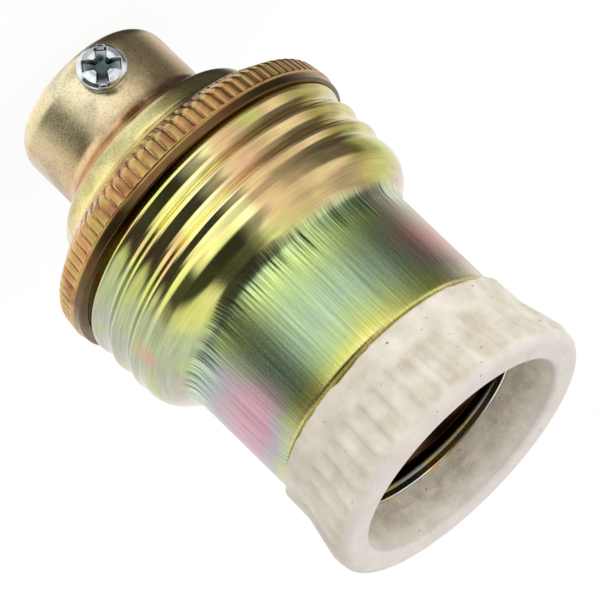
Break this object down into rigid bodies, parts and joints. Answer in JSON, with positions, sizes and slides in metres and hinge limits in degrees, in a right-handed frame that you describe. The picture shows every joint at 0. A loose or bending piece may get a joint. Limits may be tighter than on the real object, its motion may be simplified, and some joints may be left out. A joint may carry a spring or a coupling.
{
  "type": "lamp holder",
  "caption": "Metal lamp holder with a knurled cap, a side lock screw on the neck, a shell with a rolled thread and a fluted porcelain ring at the mouth.",
  "frame": {"origin": "centre of the neck's end face, where the conduit enters", "axes": "+Z along the axis of the holder towards the lamp, -Y towards the lock screw"},
  "size_m": [0.045, 0.045, 0.071],
  "materials": {
    "passivated_steel": "satin",
    "shell_steel": "satin",
    "entry_bush": "satin",
    "screw_zinc": "satin",
    "porcelain": "satin",
    "porcelain_core": "gloss",
    "sleeve_steel": "satin",
    "contact_brass": "satin"
  },
  "bodies": {
    "base": {"cap": "passivated_steel", "entry_bush": "entry_bush"},
    "lock": {"lock_screw": "screw_zinc"},
    "core": {"porcelain_insert": "porcelain_core", "thread_sleeve": "sleeve_steel", "sleeve_screws": "screw_zinc", "sleeve_nuts": "screw_zinc", "contact_screw": "screw_zinc", "contact_nut": "screw_zinc", "neutral_plate": "contact_brass", "neutral_clamp": "screw_zinc", "live_plate": "contact_brass", "live_clamp": "screw_zinc"},
    "outer_shell": {"shell": "shell_steel"},
    "ring": {"porcelain_ring": "porcelain"},
    "spring_contact": {"centre_contact": "contact_brass"},
    "neutral_terminal": {"neutral_screw": "screw_zinc"},
    "live_terminal": {"live_screw": "screw_zinc"}
  },
  "joints": [
    {"name": "lock_turn", "type": "hinge", "parent": "base", "child": "lock", "pos_m": [0, -0.0114, 0.0051], "axis": [0, -1, 0], "range_deg": [0, 1080]},
    {"name": "core_lift", "type": "slide", "parent": "base", "child": "core", "axis": [0, 0, 1], "range_m": [0, 0.0027]},
    {"name": "shell_unscrew", "type": "hinge", "parent": "core", "child": "outer_shell", "pos_m": [0, 0, 0.05], "axis": [0, 0, 1], "range_deg": [0, 270]},
    {"name": "ring_turn", "type": "hinge", "parent": "core", "child": "ring", "pos_m": [0, 0, 0.065], "axis": [0, 0, 1], "range_deg": [0, 1080]},
    {"name": "contact_press", "type": "slide", "parent": "core", "child": "spring_contact", "axis": [0, 0, -1], "range_m": [0, 0.0025], "stiffness_N_per_m": 2500, "deforming": ["centre_contact"]},
    {"name": "neutral_turn", "type": "hinge", "parent": "core", "child": "neutral_terminal", "pos_m": [0, 0.0154, 0.025], "axis": [0, 0, -1], "range_deg": [0, 1080]},
    {"name": "live_turn", "type": "hinge", "parent": "core", "child": "live_terminal", "pos_m": [0, -0.0154, 0.025], "axis": [0, 0, -1], "range_deg": [0, 1080]}
  ],
  "couplings": [
    {"joint": "shell_unscrew", "follows": "core_lift", "rad_per_m": 1745.3}
  ]
}
